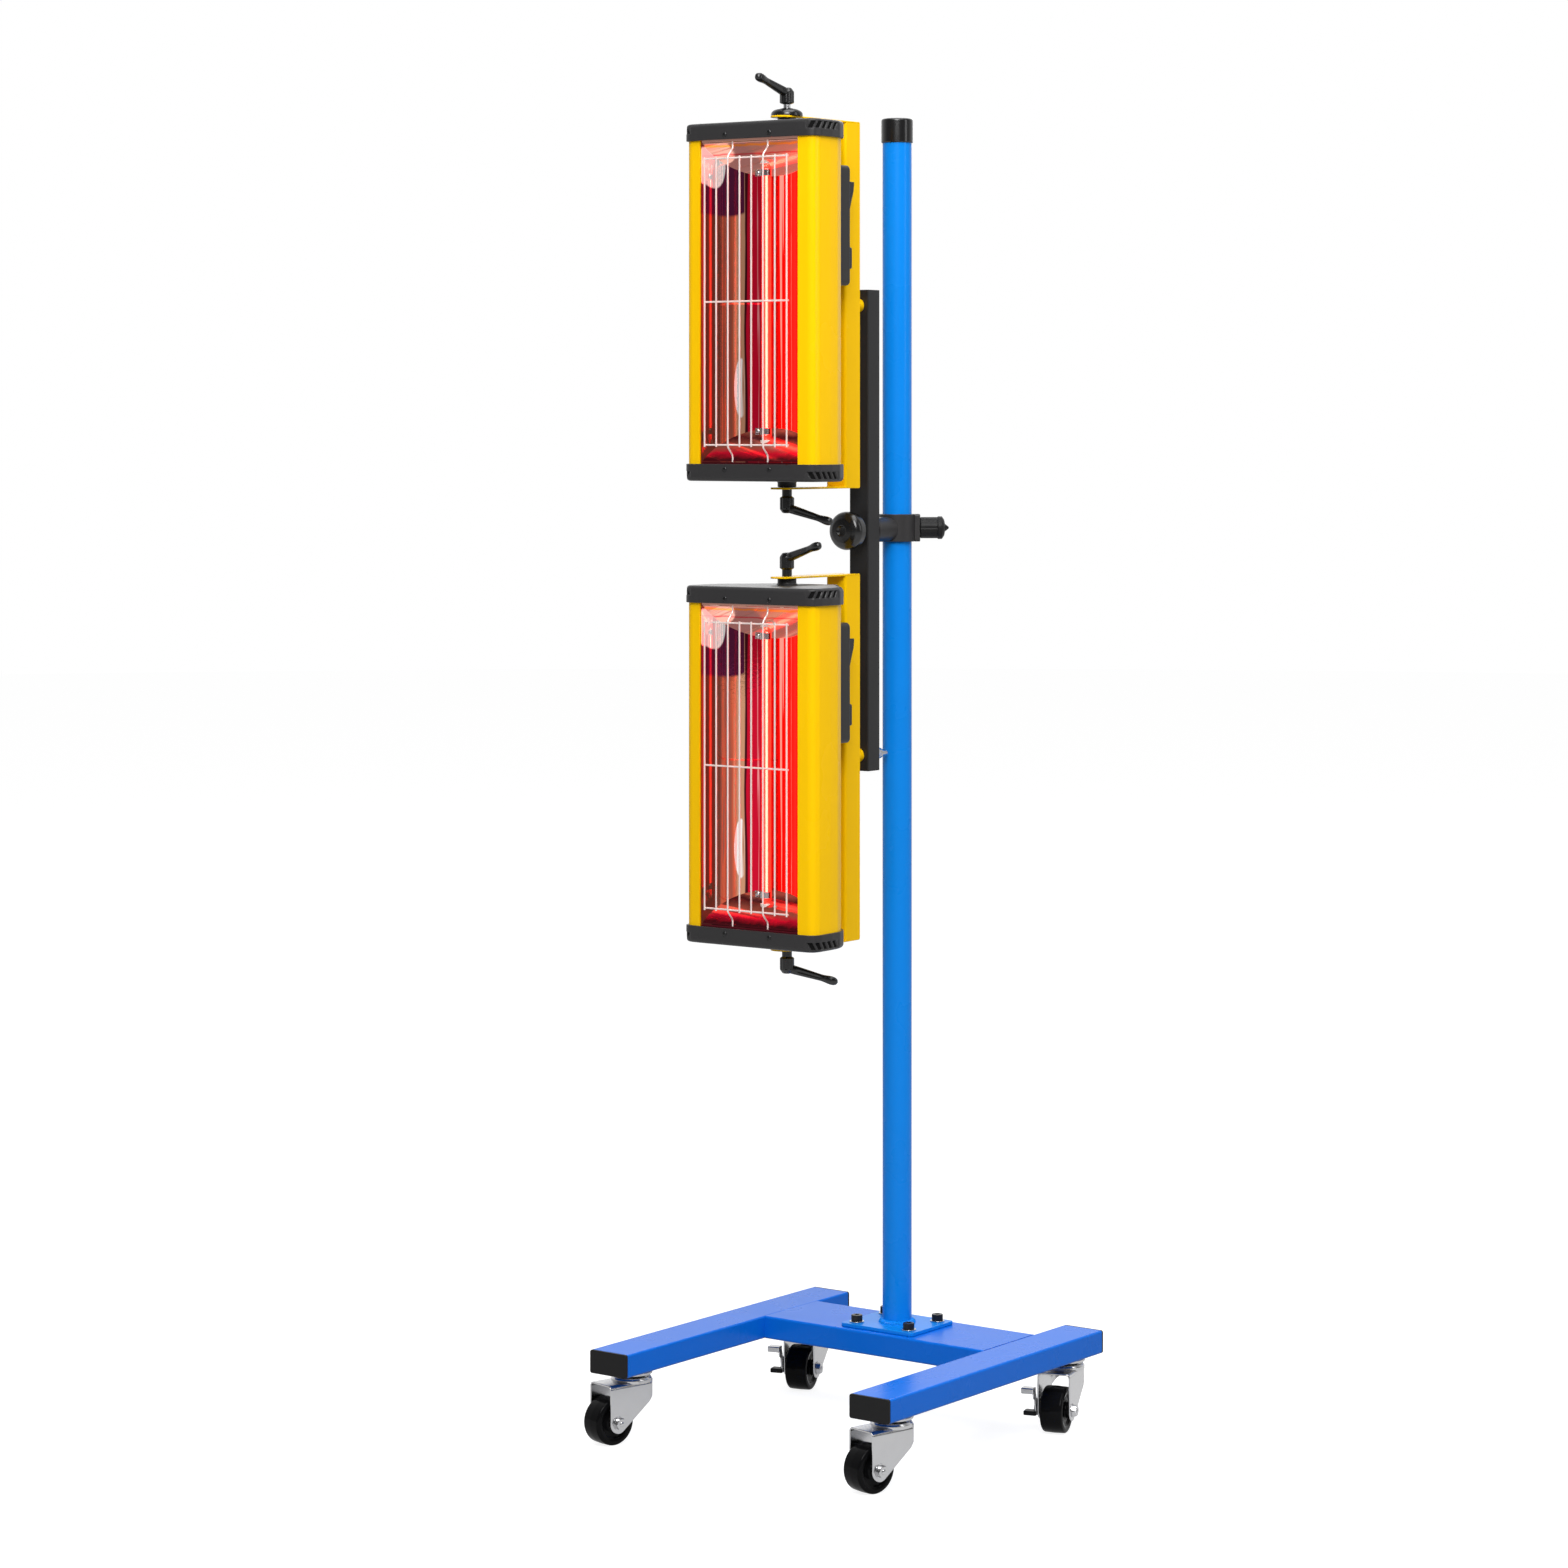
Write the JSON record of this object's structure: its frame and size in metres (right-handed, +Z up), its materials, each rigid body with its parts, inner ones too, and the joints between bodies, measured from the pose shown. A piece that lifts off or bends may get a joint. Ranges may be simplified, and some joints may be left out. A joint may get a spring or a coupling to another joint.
{
  "type": "infrared paint curing lamp",
  "caption": "Wheeled stand with a tall blue pole that carries two upright infrared lamp heads on tilting yellow brackets and a clamped bar.",
  "frame": {"origin": "middle of the bounding box at floor level, 98 mm in front of the pole's axis", "axes": "+Z up along the pole, -Y the way the lamps face, +X to the right seen from the front"},
  "size_m": [0.4002, 0.4218, 1.4543],
  "materials": {
    "blue_paint": "glossy bright blue powder coat",
    "yellow_paint": "glossy yellow powder coat",
    "bar_black": "satin charcoal coat",
    "cap_charcoal": "satin charcoal moulding",
    "black_plastic": "glossy black moulding",
    "black_steel": "black oxide",
    "zinc": "bright zinc plate",
    "wheel_black": "glossy black tread",
    "reflector": "polished",
    "lamp_glass": "glowing red quartz tube",
    "guard_chrome": "bright wire"
  },
  "bodies": {
    "base": {"left_leg": "blue_paint", "left_front_end_cap": "black_plastic", "left_rear_end_cap": "black_plastic", "right_leg": "blue_paint", "right_front_end_cap": "black_plastic", "right_rear_end_cap": "black_plastic", "cross_rail": "blue_paint", "base_plate": "blue_paint", "base_screw_1": "black_steel", "base_screw_2": "black_steel", "base_screw_3": "black_steel", "base_screw_4": "black_steel", "pole": "blue_paint", "pole_cap": "black_plastic", "left_front_castor_mount": "zinc", "right_front_castor_mount": "zinc", "left_rear_castor_mount": "zinc", "right_rear_castor_mount": "zinc"},
    "left_front_castor": {"left_front_fork": "zinc"},
    "left_front_wheel": {"left_front_wheel": "wheel_black"},
    "right_front_castor": {"right_front_fork": "zinc"},
    "right_front_wheel": {"right_front_wheel": "wheel_black"},
    "left_rear_castor": {"left_rear_fork": "zinc"},
    "left_rear_wheel": {"left_rear_wheel": "wheel_black"},
    "left_rear_brake": {"left_rear_brake_lever": "zinc"},
    "right_rear_castor": {"right_rear_fork": "zinc"},
    "right_rear_wheel": {"right_rear_wheel": "wheel_black"},
    "right_rear_brake": {"right_rear_brake_lever": "zinc"},
    "liner": {"clamp_liner": "black_plastic"},
    "clamp": {"clamp_collar": "cap_charcoal", "bar_spindle": "zinc"},
    "clamp_knob": {"clamp_knob": "black_plastic"},
    "bar": {"mounting_bar": "bar_black", "upper_bracket_bolt": "zinc", "lower_bracket_bolt": "zinc"},
    "bar_knob": {"bar_knob": "black_plastic"},
    "upper_bracket": {"upper_bracket": "yellow_paint", "upper_pivot_disc": "black_plastic"},
    "upper_head": {"upper_housing": "yellow_paint", "upper_top_cap": "cap_charcoal", "upper_bottom_cap": "cap_charcoal", "upper_reflector": "reflector", "upper_lamp": "lamp_glass", "upper_wire_guard": "guard_chrome", "upper_switch_box": "cap_charcoal"},
    "upper_rocker": {"upper_rocker": "black_plastic"},
    "upper_top_lever": {"upper_top_lever": "black_plastic"},
    "upper_bottom_lever": {"upper_bottom_lever": "black_plastic"},
    "lower_bracket": {"lower_bracket": "yellow_paint"},
    "lower_head": {"lower_housing": "yellow_paint", "lower_top_cap": "cap_charcoal", "lower_bottom_cap": "cap_charcoal", "lower_reflector": "reflector", "lower_lamp": "lamp_glass", "lower_wire_guard": "guard_chrome", "lower_switch_box": "cap_charcoal"},
    "lower_rocker": {"lower_rocker": "black_plastic"},
    "lower_top_lever": {"lower_top_lever": "black_plastic"},
    "lower_bottom_lever": {"lower_bottom_lever": "black_plastic"}
  },
  "joints": [
    {"name": "left_front_swivel", "type": "hinge", "parent": "base", "child": "left_front_castor", "pos_m": [-0.17189, -0.15543, 0.068], "axis": [0, 0, 1], "continuous": true},
    {"name": "left_front_roll", "type": "hinge", "parent": "left_front_castor", "child": "left_front_wheel", "pos_m": [-0.17913, -0.18557, 0.025], "axis": [0.9724, -0.2334, 0], "continuous": true},
    {"name": "right_front_swivel", "type": "hinge", "parent": "base", "child": "right_front_castor", "pos_m": [0.16811, -0.15543, 0.068], "axis": [0, 0, 1], "continuous": true},
    {"name": "right_front_roll", "type": "hinge", "parent": "right_front_castor", "child": "right_front_wheel", "pos_m": [0.16087, -0.18557, 0.025], "axis": [0.9724, -0.2334, 0], "continuous": true},
    {"name": "left_rear_swivel", "type": "hinge", "parent": "base", "child": "left_rear_castor", "pos_m": [-0.17189, 0.17117, 0.068], "axis": [0, 0, 1], "continuous": true},
    {"name": "left_rear_roll", "type": "hinge", "parent": "left_rear_castor", "child": "left_rear_wheel", "pos_m": [-0.16309, 0.14145, 0.025], "axis": [0.9588, 0.284, 0], "continuous": true},
    {"name": "left_rear_brake_press", "type": "hinge", "parent": "left_rear_castor", "child": "left_rear_brake", "pos_m": [-0.16309, 0.14145, 0.025], "axis": [0.9588, 0.284, 0], "range_deg": [0, 20]},
    {"name": "right_rear_swivel", "type": "hinge", "parent": "base", "child": "right_rear_castor", "pos_m": [0.16811, 0.17117, 0.068], "axis": [0, 0, 1], "continuous": true},
    {"name": "right_rear_roll", "type": "hinge", "parent": "right_rear_castor", "child": "right_rear_wheel", "pos_m": [0.17691, 0.14145, 0.025], "axis": [0.9588, 0.284, 0], "continuous": true},
    {"name": "right_rear_brake_press", "type": "hinge", "parent": "right_rear_castor", "child": "right_rear_brake", "pos_m": [0.17691, 0.14145, 0.025], "axis": [0.9588, 0.284, 0], "range_deg": [0, 20]},
    {"name": "height_slide", "type": "slide", "parent": "base", "child": "liner", "axis": [0, 0, 1], "range_m": [-0.375, 0.4]},
    {"name": "clamp_turn", "type": "hinge", "parent": "liner", "child": "clamp", "pos_m": [-0.00189, 0.09757, 0.974], "axis": [0, 0, 1], "continuous": true},
    {"name": "clamp_knob_turn", "type": "hinge", "parent": "clamp", "child": "clamp_knob", "pos_m": [0.01821, 0.11244, 0.974], "axis": [0.8039, 0.5948, 0], "continuous": true},
    {"name": "bar_tilt", "type": "hinge", "parent": "clamp", "child": "bar", "pos_m": [-0.00189, 0.03617, 0.972], "axis": [0, 1, 0], "range_deg": [-90, 90]},
    {"name": "bar_knob_turn", "type": "hinge", "parent": "clamp", "child": "bar_knob", "pos_m": [-0.00189, 0.02517, 0.972], "axis": [0, -1, 0], "continuous": true},
    {"name": "upper_bracket_tilt", "type": "hinge", "parent": "bar", "child": "upper_bracket", "pos_m": [-0.00189, 0.02517, 1.215], "axis": [0, 1, 0], "range_deg": [-90, 90]},
    {"name": "upper_head_turn", "type": "hinge", "parent": "upper_bracket", "child": "upper_head", "pos_m": [-0.00189, -0.10543, 1.215], "axis": [0, 0, 1], "range_deg": [-90, 90]},
    {"name": "upper_switch", "type": "hinge", "parent": "upper_head", "child": "upper_rocker", "pos_m": [0.02511, -0.04313, 1.329], "axis": [1, 0, 0], "range_deg": [0, 24]},
    {"name": "upper_top_lever_turn", "type": "hinge", "parent": "upper_head", "child": "upper_top_lever", "pos_m": [-0.00189, -0.10543, 1.412], "axis": [0, 0, 1], "continuous": true},
    {"name": "upper_bottom_lever_turn", "type": "hinge", "parent": "upper_head", "child": "upper_bottom_lever", "pos_m": [-0.00189, -0.10543, 1.018], "axis": [0, 0, -1], "continuous": true},
    {"name": "lower_bracket_tilt", "type": "hinge", "parent": "bar", "child": "lower_bracket", "pos_m": [-0.00189, 0.02517, 0.729], "axis": [0, 1, 0], "range_deg": [-90, 90]},
    {"name": "lower_head_turn", "type": "hinge", "parent": "lower_bracket", "child": "lower_head", "pos_m": [-0.00189, -0.10543, 0.729], "axis": [0, 0, 1], "range_deg": [-90, 90]},
    {"name": "lower_switch", "type": "hinge", "parent": "lower_head", "child": "lower_rocker", "pos_m": [0.02511, -0.04313, 0.843], "axis": [1, 0, 0], "range_deg": [0, 24]},
    {"name": "lower_top_lever_turn", "type": "hinge", "parent": "lower_head", "child": "lower_top_lever", "pos_m": [-0.00189, -0.10543, 0.926], "axis": [0, 0, 1], "continuous": true},
    {"name": "lower_bottom_lever_turn", "type": "hinge", "parent": "lower_head", "child": "lower_bottom_lever", "pos_m": [-0.00189, -0.10543, 0.532], "axis": [0, 0, -1], "continuous": true}
  ]
}
